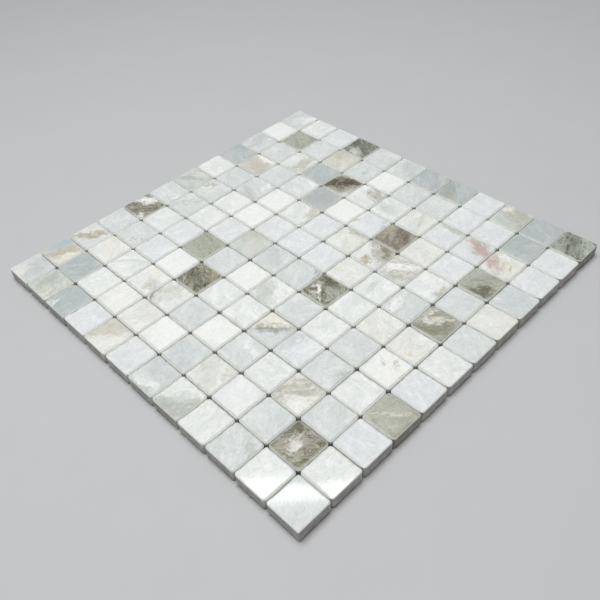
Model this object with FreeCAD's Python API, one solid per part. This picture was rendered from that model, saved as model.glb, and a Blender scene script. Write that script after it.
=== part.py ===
import FreeCAD, Part

# Mosaic tile sheet: square polished marble tiles, laid in straight rows with open joints on
# a glass-fibre net. The sheet lies flat, polished faces up. X runs along the rows, Y across
# them, and the origin is the middle of the net's underside. All lengths are in millimetres.

import math
import os
import random

# Tiles
TILES_PER_SIDE = 12
TILE_SIDE = 24.9
STONE_THICKNESS = 9.5
JOINT = 0.5
TOP_ARRIS = 0.9  # width of the eased edge round the polished face
BACK_ARRIS = 0.5  # width of the broken edge round the sawn back
CORNER_CUT = 1.2  # leg of the cut at each upright corner

# Hand laying: how far one tile may stray from its seat
LAY_SHIFT = 0.12
LAY_TURN = 0.3  # degrees
THICKNESS_SPREAD = 0.15
LAY_SEED = 12

# Net: flat yarns in two layers, the lower ones along X and the upper ones along Y
YARNS_PER_TILE = 5
YARN_WIDTH = 0.8
YARN_THICKNESS = 0.25
YARN_BEVEL = 0.12  # the flat bundle thins towards its two sides

# Worked out
MODULE = TILE_SIDE + JOINT
SHEET_SIDE = TILES_PER_SIDE * MODULE
YARN_COUNT = TILES_PER_SIDE * YARNS_PER_TILE
YARN_PITCH = SHEET_SIDE / YARN_COUNT
NET_TOP = 2 * YARN_THICKNESS
LEVEL_TOLERANCE = 1e-6  # corners this close in height lie on one level

UP = FreeCAD.Vector(0, 0, 1)
ALONG_X = FreeCAD.Vector(1, 0, 0)
CENTRE = FreeCAD.Vector(0, 0, 0)


def centred(index, count, pitch):
    """Place of one of count items on a centred line, pitch apart."""
    return (index - (count - 1) / 2) * pitch


def level_edges(solid, z):
    """The edges of a solid that lie all at one height."""
    return [e for e in solid.Edges if all(abs(v.Z - z) < LEVEL_TOLERANCE for v in e.Vertexes)]


def tile_outline():
    """Square with its four corners cut, centred on the origin."""
    half = TILE_SIDE / 2
    short = half - CORNER_CUT
    quarter = [(half, -short), (half, short)]
    points = []
    for turn in range(4):
        for x, y in quarter:
            angle = math.radians(90 * turn)
            points.append(
                FreeCAD.Vector(
                    x * math.cos(angle) - y * math.sin(angle),
                    x * math.sin(angle) + y * math.cos(angle),
                    0,
                )
            )
    return Part.Face(Part.makePolygon(points + points[:1]))


def tile(thickness):
    """One tile on z = 0, with its upper and lower edges eased."""
    block = tile_outline().extrude(UP * thickness)
    block = block.makeChamfer(TOP_ARRIS, level_edges(block, thickness))
    return block.makeChamfer(BACK_ARRIS, level_edges(block, 0))


def tile_row(row, chance):
    """The tiles of one row along X, each seated on the net as a hand laid it."""
    seated = []
    for column in range(TILES_PER_SIDE):
        thickness = STONE_THICKNESS + chance.uniform(-1, 1) * THICKNESS_SPREAD
        laid = tile(thickness)
        laid.rotate(CENTRE, UP, chance.uniform(-1, 1) * LAY_TURN)
        laid.translate(
            FreeCAD.Vector(
                centred(column, TILES_PER_SIDE, MODULE) + chance.uniform(-1, 1) * LAY_SHIFT,
                centred(row, TILES_PER_SIDE, MODULE) + chance.uniform(-1, 1) * LAY_SHIFT,
                NET_TOP,
            )
        )
        seated.append(laid)
    return Part.makeCompound(seated)


def yarn():
    """One yarn along X on z = 0: a flat bundle, thinner at its two sides."""
    half_width = YARN_WIDTH / 2
    half_flat = half_width - YARN_BEVEL
    section = [
        (-half_flat, 0),
        (half_flat, 0),
        (half_width, YARN_THICKNESS / 2),
        (half_flat, YARN_THICKNESS),
        (-half_flat, YARN_THICKNESS),
        (-half_width, YARN_THICKNESS / 2),
    ]
    points = [FreeCAD.Vector(-SHEET_SIDE / 2, y, z) for y, z in section]
    face = Part.Face(Part.makePolygon(points + points[:1]))
    return face.extrude(ALONG_X * SHEET_SIDE)


def yarn_layer(turn, z):
    """Parallel yarns at one height, turned about the upright axis by turn degrees."""
    laid = []
    for index in range(YARN_COUNT):
        one = yarn()
        one.translate(FreeCAD.Vector(0, centred(index, YARN_COUNT, YARN_PITCH), z))
        one.rotate(CENTRE, UP, turn)
        laid.append(one)
    return Part.makeCompound(laid)


def sub_parts():
    """Every sub-part by name. Rows are numbered from the -Y edge."""
    chance = random.Random(LAY_SEED)
    parts = {
        f"tile_row_{row + 1:02d}": tile_row(row, chance) for row in range(TILES_PER_SIDE)
    }
    parts["net_lower_yarns"] = yarn_layer(0, 0)
    parts["net_upper_yarns"] = yarn_layer(90, YARN_THICKNESS)
    return parts


os.makedirs("parts", exist_ok=True)
for name, shape in sub_parts().items():
    shape.exportStep(f"parts/{name}.step")
    print(name, len(shape.Solids), "solids", round(shape.Volume, 1), "mm3")
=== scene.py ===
"""Mosaic tile sheet: polished marble tiles on a glass-fibre net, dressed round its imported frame.

The frame holds twelve rows of plain tiles and two layers of plain yarns. Each row gets a finer
piece, cut tile by tile on the frame's own seats, and the yarns get a woven net with frayed
ends. Lengths are in metres. +X runs along the rows, +Y across them and +Z up.
"""
import logging
import math
from dataclasses import dataclass
from enum import Enum

import bpy
import numpy as np
from mathutils import Matrix, Vector


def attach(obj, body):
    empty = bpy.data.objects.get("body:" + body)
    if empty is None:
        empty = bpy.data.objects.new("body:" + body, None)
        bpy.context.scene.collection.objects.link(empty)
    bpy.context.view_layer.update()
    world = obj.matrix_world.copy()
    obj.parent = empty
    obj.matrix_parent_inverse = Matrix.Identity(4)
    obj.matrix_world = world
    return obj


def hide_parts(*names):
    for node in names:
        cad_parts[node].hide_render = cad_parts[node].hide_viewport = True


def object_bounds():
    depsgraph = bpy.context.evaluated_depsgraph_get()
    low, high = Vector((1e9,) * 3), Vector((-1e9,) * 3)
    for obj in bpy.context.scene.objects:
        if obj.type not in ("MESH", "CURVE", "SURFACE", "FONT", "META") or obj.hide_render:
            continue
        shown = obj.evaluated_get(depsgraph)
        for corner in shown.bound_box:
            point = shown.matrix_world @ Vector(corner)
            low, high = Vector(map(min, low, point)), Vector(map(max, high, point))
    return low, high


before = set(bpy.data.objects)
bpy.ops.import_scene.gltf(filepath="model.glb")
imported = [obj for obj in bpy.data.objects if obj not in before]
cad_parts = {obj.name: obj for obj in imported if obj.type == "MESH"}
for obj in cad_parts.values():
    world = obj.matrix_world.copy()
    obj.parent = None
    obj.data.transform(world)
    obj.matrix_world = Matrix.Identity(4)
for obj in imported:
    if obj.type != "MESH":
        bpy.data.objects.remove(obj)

CAD_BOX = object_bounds()
MM = 0.001
BODY = "root"
SEED = 1201

logging.basicConfig(level=logging.INFO, format="%(message)s")
log = logging.getLogger("mosaic_tile_sheet")

Colour = tuple[float, float, float]
Place = tuple[float, float, float]
Values = np.ndarray | float


def linear(colour: Colour) -> Colour:
    """Turns a colour as seen on a screen, 0 to 255, into scene light, by the sRGB curve."""
    shares = (value / 255 for value in colour)
    return tuple(s / 12.92 if s <= 0.04045 else ((s + 0.055) / 1.055) ** 2.4 for s in shares)


class Wire:
    """A node's output, with Python's arithmetic.

    Numbers go through Math nodes, and vectors and colours through Vector Math nodes.
    """

    def __init__(self, graph: "Graph", socket: bpy.types.NodeSocket) -> None:
        """Keeps the socket and the graph that new nodes go into."""
        self.graph = graph
        self.socket = socket

    @property
    def is_vector(self) -> bool:
        """Tells whether the socket carries three numbers."""
        return self.socket.type in ("VECTOR", "RGBA")

    def output(self, name: str) -> "Wire":
        """Gives another output of the same node."""
        return Wire(self.graph, self.socket.node.outputs[name])

    def maths(self, operation: str, first: "Term", second: "Term" = None, result: int = 0) -> "Wire":
        """Adds a Math or Vector Math node.

        Args:
            operation: The node's operation.
            first: Its first term.
            second: Its second term, or None for an operation with one.
            result: Which output to give.

        Returns:
            The node's result.
        """
        terms = [t for t in (first, second) if t is not None]
        vector = any(t.is_vector if isinstance(t, Wire) else isinstance(t, tuple) for t in terms)
        if vector:
            terms = [(t,) * 3 if isinstance(t, (int, float)) else t for t in terms]
        kind = "ShaderNodeVectorMath" if vector else "ShaderNodeMath"
        return self.graph.add(kind, {"operation": operation}, dict(enumerate(terms)), result)

    def __add__(self, other: "Term") -> "Wire":
        """Adds a term."""
        return self.maths("ADD", self, other)

    __radd__ = __add__

    def __sub__(self, other: "Term") -> "Wire":
        """Takes a term away."""
        return self.maths("SUBTRACT", self, other)

    def __rsub__(self, other: "Term") -> "Wire":
        """Takes this away from a term."""
        return self.maths("SUBTRACT", other, self)

    def __mul__(self, other: "Term") -> "Wire":
        """Multiplies by a term."""
        return self.maths("MULTIPLY", self, other)

    __rmul__ = __mul__

    def __abs__(self) -> "Wire":
        """Drops the sign."""
        return self.maths("ABSOLUTE", self)

    def length(self) -> "Wire":
        """Gives a vector's length."""
        return self.maths("LENGTH", self, result=1)

    def step(self, low: float, high: float) -> "Wire":
        """Rises smoothly from 0 at low to 1 at high, and falls where low is the larger."""
        inputs = {"Value": self, "From Min": low, "From Max": high}
        return self.graph.add("ShaderNodeMapRange", {"interpolation_type": "SMOOTHSTEP"}, inputs)


Term = Wire | float | int | tuple | None


class Graph:
    """The nodes of one material or of the world."""

    def __init__(self, tree: bpy.types.NodeTree) -> None:
        """Starts the tree afresh."""
        self.tree = tree
        tree.nodes.clear()

    def add(
        self,
        kind: str,
        settings: dict | None = None,
        inputs: dict | None = None,
        output: int | str = 0,
    ) -> Wire | None:
        """Adds one node.

        Args:
            kind: The node's type.
            settings: Its properties, which are set first.
            inputs: Values or wires by the name, number or identifier of a socket.
            output: The output that is wanted.

        Returns:
            That output, or None where the node has none.
        """
        node = self.tree.nodes.new(kind)
        for name, value in (settings or {}).items():
            setattr(node, name, value)
        by_identifier = {socket.identifier: socket for socket in node.inputs}
        for name, value in (inputs or {}).items():
            socket = by_identifier[name] if name in by_identifier else node.inputs[name]
            if isinstance(value, Wire):
                self.tree.links.new(value.socket, socket)
            else:
                socket.default_value = value
        if not node.outputs:
            return None
        return Wire(self, node.outputs[output])

    def attribute(self, name: str, output: str = "Vector") -> Wire:
        """Reads one of the piece's own attributes."""
        return self.add("ShaderNodeAttribute", {"attribute_name": name}, output=output)

    def noise(self, place: Wire, scale: float, detail: float = 2.0, roughness: float = 0.5) -> Wire:
        """Adds a noise whose features measure about one over scale."""
        inputs = {"Vector": place, "Scale": scale, "Detail": detail, "Roughness": roughness}
        return self.add("ShaderNodeTexNoise", None, inputs)

    def blend(self, share: Term, first: Term, second: Term) -> Wire:
        """Mixes two colours, with share of the second."""
        inputs = {"Factor_Float": share, "A_Color": first, "B_Color": second}
        return self.add("ShaderNodeMix", {"data_type": "RGBA"}, inputs, 2)

    def object_place(self) -> Wire:
        """Reads the place on the piece, in metres."""
        return self.add("ShaderNodeTexCoord", output="Object")

    def relief(self, height: Wire, strength: float, distance: float) -> Wire:
        """Turns a height from 0 to 1 into fine relief, distance deep."""
        inputs = {"Strength": strength, "Distance": distance, "Height": height}
        return self.add("ShaderNodeBump", None, inputs)

    def finish(self, sockets: dict) -> None:
        """Ends a material in the standard shader, given the values and wires of its sockets."""
        shader = self.add("ShaderNodeBsdfPrincipled", None, sockets)
        self.add("ShaderNodeOutputMaterial", None, {"Surface": shader})


def rgba(colour: Colour) -> tuple[float, float, float, float]:
    """Gives a screen colour as an opaque socket value."""
    return (*linear(colour), 1.0)


def new_material(name: str) -> tuple[bpy.types.Material, Graph]:
    """Makes an empty material.

    Args:
        name: Its name.

    Returns:
        The material, and the graph for its nodes.
    """
    material = bpy.data.materials.new(name)
    material.use_nodes = True
    return material, Graph(material.node_tree)


class Tint(Enum):
    """Colours of the streaks and patches in the stone, as seen on a screen."""

    PALE = (238, 239, 236)
    CREAM = (233, 230, 220)
    GREY = (182, 187, 186)
    GREY_GREEN = (184, 191, 181)
    BLUE = (184, 193, 196)
    TAUPE = (181, 177, 165)
    TAN = (186, 179, 158)
    OLIVE = (140, 138, 120)
    DARK_OLIVE = (92, 90, 72)
    BROWN = (98, 84, 74)
    PINK = (188, 166, 160)
    OCHRE = (214, 196, 152)
    BLACK_GREEN = (66, 72, 60)


# The tints again, by their bare names, for the marks below.
PALE, CREAM, GREY, GREY_GREEN, BLUE, TAUPE, TAN, OLIVE, DARK_OLIVE, BROWN, PINK, OCHRE, BLACK_GREEN = Tint


@dataclass(frozen=True)
class Marble:
    """How one sort of stone looks when it is polished.

    Attributes:
        ground: Its main colour, as seen on a screen.
        cloud: The colour of its clouds.
        vein: The colour of its thin veins.
        cloudiness: Share of the cloud colour where a cloud is thickest.
        veining: Share of the vein colour in the middle of a vein.
        size: About how large a cloud is, in metres.
        stretch: A cloud's length over its width.
    """

    ground: Colour
    cloud: Colour
    vein: Colour
    cloudiness: float = 0.95
    veining: float = 0.35
    size: float = 9 * MM
    stretch: float = 1.4


class Stone(Enum):
    """The sorts of stone in the sheet, with the letter each has in the layout."""

    WHITE = "W"
    CREAM = "C"
    LAVENDER = "L"
    ICE = "I"
    BLUE = "B"
    GREEN = "G"
    BEIGE = "T"
    MOTTLED = "M"
    OLIVE = "O"
    DARK_OLIVE = "K"
    BROWN = "N"
    SLATE = "S"


MARBLES: dict[Stone, Marble] = {
    Stone.WHITE: Marble((226, 229, 227), (238, 240, 238), (208, 213, 210)),
    Stone.CREAM: Marble((225, 227, 223), (236, 238, 234), (208, 206, 196)),
    Stone.LAVENDER: Marble((222, 225, 226), (233, 235, 235), (205, 210, 212)),
    Stone.ICE: Marble((215, 219, 218), (226, 229, 227), (197, 204, 203), 0.8, 0.4),
    Stone.BLUE: Marble((185, 192, 192), (203, 209, 207), (169, 178, 179), 0.75, 0.45, 8 * MM, 2.2),
    Stone.GREEN: Marble((206, 211, 205), (185, 192, 184), (222, 226, 220), 0.7, 0.4, 8 * MM),
    Stone.BEIGE: Marble((210, 209, 200), (193, 190, 179), (229, 228, 221), 0.7, 0.45, 7 * MM),
    Stone.MOTTLED: Marble((208, 208, 200), (178, 177, 166), (234, 233, 227), 0.75, 0.6, 6 * MM, 1.8),
    Stone.OLIVE: Marble((172, 175, 162), (144, 147, 134), (200, 202, 190), 0.8, 0.4, 6 * MM, 1.6),
    Stone.DARK_OLIVE: Marble((136, 135, 115), (92, 91, 72), (204, 205, 192), 0.85, 0.55, 5 * MM, 1.4),
    Stone.BROWN: Marble((152, 147, 135), (113, 106, 95), (190, 186, 174), 0.8, 0.45, 5 * MM, 2.0),
    Stone.SLATE: Marble((140, 144, 134), (90, 94, 82), (198, 202, 190), 0.85, 0.55, 4.5 * MM, 1.8),
}


@dataclass(frozen=True)
class Mark:
    """A streak or patch in one tile: an ellipse with ragged edges.

    Attributes:
        tint: Its colour.
        x: Place of its middle along X, in half sides of the tile.
        y: Place of its middle along Y, in half sides.
        turn: The way it runs, in degrees from +X.
        long: Half its length, in half sides.
        wide: Half its width, in half sides.
        strength: Share of its colour.
    """

    tint: Tint
    x: float
    y: float
    turn: float
    long: float
    wide: float
    strength: float = 0.9


# The sort of each stone, one string for each row. The first row lies at +Y.
LAYOUT = (
    "ITIIKIGWBIWI",
    "GBCIWIIITIOW",
    "BWWLLWWIIWIL",
    "LCWLOLWLWBTS",
    "TCWKIGLWBWII",
    "LWIWWILLWWWI",
    "IIWWWILCLWIB",
    "WCIIIKCWNCIB",
    "WLWLWWWMCLLL",
    "IIMIICIWLLLG",
    "WKIWCCOIOCBB",
    "IWLOLWICILLS",
)

# Half length and half width of a mark that covers its whole tile.
WHOLE_TILE = (1.6, 1.2)

# What stands out in single stones, by the row in the layout and the column.
MARKS: dict[tuple[int, int], tuple[Mark, ...]] = {
    (0, 0): (Mark(GREY, 0.2, -0.1, 30, 1.2, 0.6, 0.5), Mark(CREAM, -0.7, 0.2, 30, 0.7, 0.3, 0.7)),
    (0, 1): (
        Mark(CREAM, 0.0, -0.75, -20, 1.2, 0.3),
        Mark(TAN, -0.2, 0.1, -28, 1.3, 0.3, 0.8),
        Mark(BLUE, 0.4, 0.7, -22, 1.3, 0.5, 1.0),
    ),
    (0, 2): (Mark(TAN, -0.1, 0.1, -38, 1.3, 0.3, 1.0), Mark(CREAM, 0.2, 0.45, -38, 1.2, 0.2, 0.6)),
    (0, 4): (
        Mark(DARK_OLIVE, -0.1, -0.4, -45, 1.1, 0.35, 0.35),
        Mark(PALE, 0.6, 0.3, -50, 1.2, 0.35, 1.0),
        Mark(PALE, -0.9, -0.9, 50, 0.7, 0.25, 0.8),
    ),
    (0, 5): (Mark(PALE, 0.1, 0.0, 80, 1.3, 0.13),),
    (0, 6): (Mark(GREY, -0.2, 0.3, -48, 1.2, 0.25), Mark(TAN, 0.4, -0.65, -40, 0.8, 0.1, 0.7)),
    (0, 9): (Mark(GREY, 0.1, 0.2, 5, 1.0, 0.5, 0.5),),
    (0, 10): (Mark(PALE, 0.0, 0.0, 20, *WHOLE_TILE),),
    (0, 11): (Mark(PALE, 0.5, -0.7, -20, 0.9, 0.5), Mark(BLUE, -0.3, 0.5, -10, 0.9, 0.3, 0.4)),
    (1, 0): (Mark(GREY_GREEN, 0.1, 0.35, 20, 0.9, 0.5, 1.0), Mark(CREAM, -0.6, -0.5, 60, 0.7, 0.25, 0.6)),
    (1, 2): (Mark(CREAM, 0.4, 0.3, 40, 0.8, 0.3, 0.6),),
    (1, 3): (Mark(TAN, -0.4, -0.3, 60, 0.5, 0.08, 0.8), Mark(TAUPE, -0.35, -0.7, -40, 0.5, 0.1)),
    (1, 5): (
        Mark(GREY_GREEN, 0.1, 0.3, -24, 1.3, 0.2, 0.6),
        Mark(GREY_GREEN, 0.6, -0.2, -24, 0.8, 0.13, 0.7),
    ),
    (1, 6): (Mark(TAN, 0.1, 0.65, -42, 0.9, 0.14), Mark(PALE, 0.35, 0.2, -38, 1.1, 0.1, 1.0)),
    (1, 8): (Mark(TAUPE, -0.2, 0.0, 80, 2.0, 0.55, 0.4), Mark(PALE, 0.9, 0.0, 80, 1.8, 0.28, 1.0)),
    (1, 10): (Mark(CREAM, 0.3, -0.3, 45, 1.0, 0.3, 0.2), Mark(GREY_GREEN, -0.8, 0.0, 80, 1.2, 0.3, 0.6)),
    (2, 0): (Mark(PALE, -0.5, 0.4, 14, 0.9, 0.12, 0.7), Mark(BLUE, 0.2, -0.5, 20, 1.2, 0.4, 0.7)),
    (2, 2): (Mark(GREY, 0.1, 0.1, -50, 1.3, 0.12, 0.4),),
    (2, 5): (Mark(GREY_GREEN, 0.9, 0.0, 80, 1.0, 0.15, 0.7),),
    (2, 7): (Mark(GREY_GREEN, -0.7, -0.1, 70, 1.0, 0.3, 0.7), Mark(PALE, 0.3, -0.45, 27, 0.6, 0.2, 1.0)),
    (2, 9): (Mark(TAUPE, 0.0, -0.45, 8, 1.4, 0.45, 0.6),),
    (3, 1): (Mark(PALE, 0.1, 0.0, 30, 1.4, 0.9, 0.7),),
    (3, 2): (Mark(TAUPE, -0.2, -0.5, 60, 0.6, 0.35, 0.6), Mark(CREAM, 0.5, 0.1, 20, 0.7, 0.3)),
    (3, 3): (Mark(PALE, 0.0, 0.1, 50, *WHOLE_TILE),),
    (3, 4): (Mark(GREY_GREEN, -0.7, 0.0, 80, 1.2, 0.25, 0.6),),
    (3, 6): (Mark(PALE, 0.0, 0.0, 60, *WHOLE_TILE),),
    (3, 7): (Mark(PALE, 0.0, 0.0, -20, *WHOLE_TILE),),
    (3, 8): (Mark(BLUE, -0.2, 0.2, 60, 1.5, 0.8, 0.25),),
    (3, 10): (Mark(TAN, 0.1, 0.2, 50, 0.9, 0.4, 0.3), Mark(CREAM, -0.4, -0.5, 30, 0.8, 0.3, 0.7)),
    (3, 11): (
        Mark(PALE, -0.5, 0.2, 55, 1.0, 0.3, 0.6),
        Mark(BLACK_GREEN, 0.0, 0.7, 20, 1.1, 0.28, 0.7),
        Mark(DARK_OLIVE, 0.3, -0.3, 50, 1.1, 0.3, 0.6),
    ),
    (4, 0): (Mark(TAN, 0.3, 0.5, -35, 1.2, 0.45, 0.3), Mark(PALE, -0.4, -0.4, -40, 1.4, 0.6, 0.7)),
    (4, 2): (Mark(OLIVE, -0.6, 0.8, 15, 0.8, 0.2, 1.0), Mark(TAUPE, 0.1, 0.3, -10, 1.3, 0.6, 0.4)),
    (4, 3): (
        Mark(DARK_OLIVE, -0.1, 0.4, 60, 0.9, 0.4, 0.5),
        Mark(TAN, 0.6, -0.5, 60, 0.9, 0.35, 0.5),
        Mark(BLACK_GREEN, -0.4, -0.7, 10, 0.7, 0.2, 0.7),
    ),
    (4, 5): (Mark(TAN, 0.2, 0.1, 45, 1.3, 0.45, 0.4), Mark(PALE, -0.3, -0.3, 45, 1.1, 0.4, 0.3)),
    (4, 7): (Mark(TAN, 0.5, -0.5, 35, 0.8, 0.3, 0.6), Mark(GREY, 0.1, 0.1, 35, 1.3, 0.3, 0.25)),
    (4, 8): (Mark(GREY, 0.1, -0.1, 20, 0.9, 0.6, 1.0),),
    (4, 9): (
        Mark(OLIVE, 0.05, 0.25, -52, 2.0, 1.05, 1.0),
        Mark(DARK_OLIVE, 0.2, 0.1, -55, 1.8, 0.5, 0.9),
        Mark(BROWN, 0.45, -0.3, -60, 0.9, 0.22, 0.8),
    ),
    (4, 10): (Mark(GREY, -0.1, -0.1, 45, 0.13, 0.1, 1.0),),
    (5, 1): (Mark(PALE, 0.2, 0.0, 40, 1.5, 1.0),),
    (5, 2): (Mark(BLUE, 0.0, -0.2, 40, 1.2, 0.4, 0.15),),
    (5, 4): (Mark(PALE, 0.2, -0.1, 10, 1.5, 1.0, 0.8),),
    (5, 5): (Mark(GREY, 0.2, 0.2, 40, 1.2, 0.5, 0.4),),
    (5, 8): (Mark(PALE, 0.0, 0.0, 70, *WHOLE_TILE),),
    (5, 9): (Mark(TAUPE, 0.55, -0.45, 60, 0.9, 0.45, 0.9), Mark(OLIVE, 0.6, -0.1, 70, 0.5, 0.15, 0.5)),
    (5, 10): (Mark(PALE, 0.0, 0.1, -20, 1.6, 1.0),),
    (5, 11): (Mark(GREY, 0.2, -0.3, 40, 1.1, 0.5, 0.5),),
    (6, 0): (
        Mark(GREY_GREEN, -0.9, 0.1, 85, 1.2, 0.25, 0.6),
        Mark(GREY, 0.4, -0.1, 80, 1.3, 0.5, 0.3),
        Mark(PALE, -0.5, 0.0, 104, 1.5, 0.14, 0.8),
    ),
    (6, 1): (Mark(BLUE, -0.1, 0.1, 60, 1.2, 0.6, 0.35),),
    (6, 2): (Mark(PALE, 0.0, 0.0, -30, 1.6, 1.1),),
    (6, 3): (Mark(TAN, -0.8, 0.3, 70, 0.9, 0.1, 0.6),),
    (6, 4): (Mark(GREY_GREEN, -0.2, 0.4, 50, 1.2, 0.6, 0.6), Mark(PALE, 0.0, -0.5, 40, 1.2, 0.15, 0.4)),
    (6, 5): (Mark(OLIVE, 0.8, -0.85, 30, 0.5, 0.2, 0.6),),
    (6, 7): (Mark(TAUPE, 0.9, -0.1, 80, 0.8, 0.25, 0.8),),
    (6, 8): (Mark(TAN, -0.3, 0.9, 0, 0.35, 0.15), Mark(TAUPE, 0.6, -0.8, 30, 0.6, 0.15, 0.6)),
    (6, 9): (Mark(GREY_GREEN, -0.1, 0.1, 70, 0.8, 0.4, 0.45), Mark(OLIVE, -0.2, 0.4, 60, 0.4, 0.15, 0.3)),
    (6, 11): (Mark(BLUE, 0.2, 0.3, 40, 1.2, 0.35, 0.6),),
    (7, 0): (Mark(GREY_GREEN, -0.6, -0.55, -50, 2.4, 0.85, 1.0),),
    (7, 1): (Mark(TAN, 0.5, -0.6, 40, 0.7, 0.2, 0.5), Mark(GREY_GREEN, -0.2, 0.1, 40, 1.4, 0.5, 0.3)),
    (7, 2): (Mark(PALE, 0.4, -0.3, 65, 0.8, 0.24, 1.0),),
    (7, 3): (
        Mark(CREAM, 0.55, 0.3, -52, 1.3, 0.55, 1.0),
        Mark(OLIVE, -0.1, 0.1, -54, 1.7, 0.26, 0.7),
        Mark(TAN, 0.45, 0.2, -52, 1.3, 0.13, 0.8),
    ),
    (7, 5): (
        Mark(GREY_GREEN, 0.2, -0.5, 60, 0.8, 0.35, 0.7),
        Mark(PALE, -0.45, 0.1, 55, 0.7, 0.2, 1.0),
        Mark(DARK_OLIVE, 0.7, 0.4, 70, 0.9, 0.3),
    ),
    (7, 7): (
        Mark(TAUPE, 0.65, -0.3, 50, 1.6, 0.6, 1.0),
        Mark(OLIVE, 0.65, -0.5, 50, 1.4, 0.3, 0.8),
        Mark(TAN, -0.55, 0.0, 20, 0.4, 0.25, 1.0),
    ),
    (7, 8): (Mark(TAN, 0.5, 0.8, 20, 0.8, 0.25), Mark(BROWN, 0.35, -0.4, 50, 0.8, 0.3, 0.6)),
    (7, 9): (Mark(BLUE, -0.1, 0.1, 42, 1.5, 0.9, 0.15), Mark(TAUPE, 0.2, -0.2, 42, 1.4, 0.1, 0.5)),
    (7, 11): (Mark(OLIVE, -0.4, 0.4, 25, 1.2, 0.4, 0.35), Mark(TAN, -0.5, 0.1, 20, 0.6, 0.15, 0.7)),
    (8, 1): (Mark(PALE, 0.1, 0.0, 35, 1.5, 1.0, 0.6),),
    (8, 3): (Mark(GREY, 0.1, 0.6, -15, 0.9, 0.3, 0.5),),
    (8, 6): (Mark(GREY_GREEN, -0.1, 0.3, 0, 0.7, 0.3, 0.4),),
    (8, 7): (Mark(PALE, 0.3, 0.1, -55, 1.3, 0.3, 1.0), Mark(GREY_GREEN, -0.6, -0.3, -60, 1.2, 0.25, 0.6)),
    (8, 9): (Mark(GREY_GREEN, 0.85, -0.1, 80, 1.0, 0.3, 0.8),),
    (9, 0): (Mark(GREY_GREEN, 0.5, -0.7, 45, 1.0, 0.22, 0.6),),
    (9, 2): (Mark(PALE, -0.5, -0.6, -40, 1.4, 0.6), Mark(TAUPE, 0.1, 0.0, -42, 1.5, 0.2, 0.7)),
    # The grey streak along this tile's -Y edge is painted shadow from the joint, not a vein in the stone.
    (9, 3): (Mark(PALE, 0.1, 0.0, -35, 1.4, 0.12, 0.4), Mark(GREY, 0.6, -0.9, 0, 0.9, 0.2, 0.8)),
    (9, 6): (Mark(PALE, -0.4, 0.5, 15, 0.7, 0.2, 1.0), Mark(GREY, -0.3, 0.15, 10, 0.9, 0.12, 0.7)),
    (9, 7): (Mark(TAN, -0.1, -0.85, 0, 0.5, 0.2, 0.7),),
    (9, 9): (Mark(TAUPE, 0.4, -0.2, 60, 1.1, 0.6, 0.5), Mark(PINK, 0.45, -0.3, 60, 1.0, 0.5, 0.8)),
    (9, 11): (Mark(TAUPE, 0.2, -0.3, 50, 1.3, 0.7, 0.7), Mark(CREAM, 0.5, 0.6, 0, 0.35, 0.3, 1.0)),
    (10, 1): (
        Mark(TAUPE, -0.1, 0.1, -30, 0.8, 0.6, 0.8),
        Mark(PALE, -0.1, 0.2, 20, 0.6, 0.28, 0.8),
        Mark(DARK_OLIVE, 0.7, 0.7, 45, 0.7, 0.3, 0.7),
    ),
    (10, 4): (
        Mark(PALE, 0.0, 0.0, 60, *WHOLE_TILE),
        Mark(TAN, 0.1, 0.5, 60, 0.22, 0.12, 0.7),
        Mark(TAN, 0.4, -0.1, 45, 0.3, 0.16, 0.7),
    ),
    (10, 5): (Mark(OCHRE, -0.5, -0.5, 0, 0.2, 0.15, 0.6),),
    (10, 6): (
        Mark(OLIVE, -0.4, -0.2, -52, 1.4, 0.35, 0.8),
        Mark(CREAM, 0.2, 0.1, -50, 1.2, 0.2, 0.8),
        Mark(CREAM, 0.6, 0.7, -20, 0.6, 0.22, 0.8),
    ),
    (10, 8): (Mark(DARK_OLIVE, -0.5, -0.4, -45, 1.0, 0.35, 0.8), Mark(GREY_GREEN, 0.4, 0.8, -15, 1.0, 0.3)),
    (10, 9): (
        Mark(PINK, -0.2, 0.5, 35, 0.95, 0.3, 0.85),
        Mark(TAN, -0.5, -0.6, 40, 0.6, 0.2, 0.8),
        Mark(OCHRE, 0.0, -0.15, 20, 0.45, 0.2, 0.7),
    ),
    (11, 3): (
        Mark(CREAM, -0.2, 0.2, -45, 1.6, 0.9, 0.22),
        Mark(CREAM, 0.1, 0.0, -50, 1.2, 0.14, 0.5),
        Mark(OLIVE, 0.7, -0.7, 45, 0.9, 0.5, 0.2),
    ),
    (11, 8): (Mark(PALE, -0.3, 0.75, -50, 0.5, 0.1, 1.0), Mark(BLUE, 0.0, 0.0, 20, 1.5, 0.8, 0.3)),
    (11, 11): (
        Mark(GREY_GREEN, 0.35, -0.75, 28, 1.3, 0.25, 1.0),
        Mark(BLACK_GREEN, 0.1, 0.1, 10, 1.3, 0.2, 0.5),
        Mark(GREY, -0.7, 0.7, 50, 0.8, 0.3, 0.7),
    ),
}
MARKS_A_TILE = max(map(len, MARKS.values()))


def new_mesh(name: str, points: np.ndarray, triangles: np.ndarray) -> bpy.types.Mesh:
    """Makes a smooth-shaded mesh from whole arrays.

    Args:
        name: The mesh's name.
        points: Places of the vertices, (count, 3).
        triangles: Corners of the faces, (count, 3).

    Returns:
        The mesh.
    """
    mesh = bpy.data.meshes.new(name)
    mesh.vertices.add(len(points))
    mesh.vertices.foreach_set("co", points.astype(np.float32).ravel())
    mesh.loops.add(triangles.size)
    mesh.loops.foreach_set("vertex_index", triangles.astype(np.int32).ravel())
    mesh.polygons.add(len(triangles))
    mesh.polygons.foreach_set("loop_start", np.arange(0, triangles.size, 3, dtype=np.int32))
    mesh.polygons.foreach_set("use_smooth", np.ones(len(triangles), bool))
    mesh.update(calc_edges=True)
    return mesh


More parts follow.
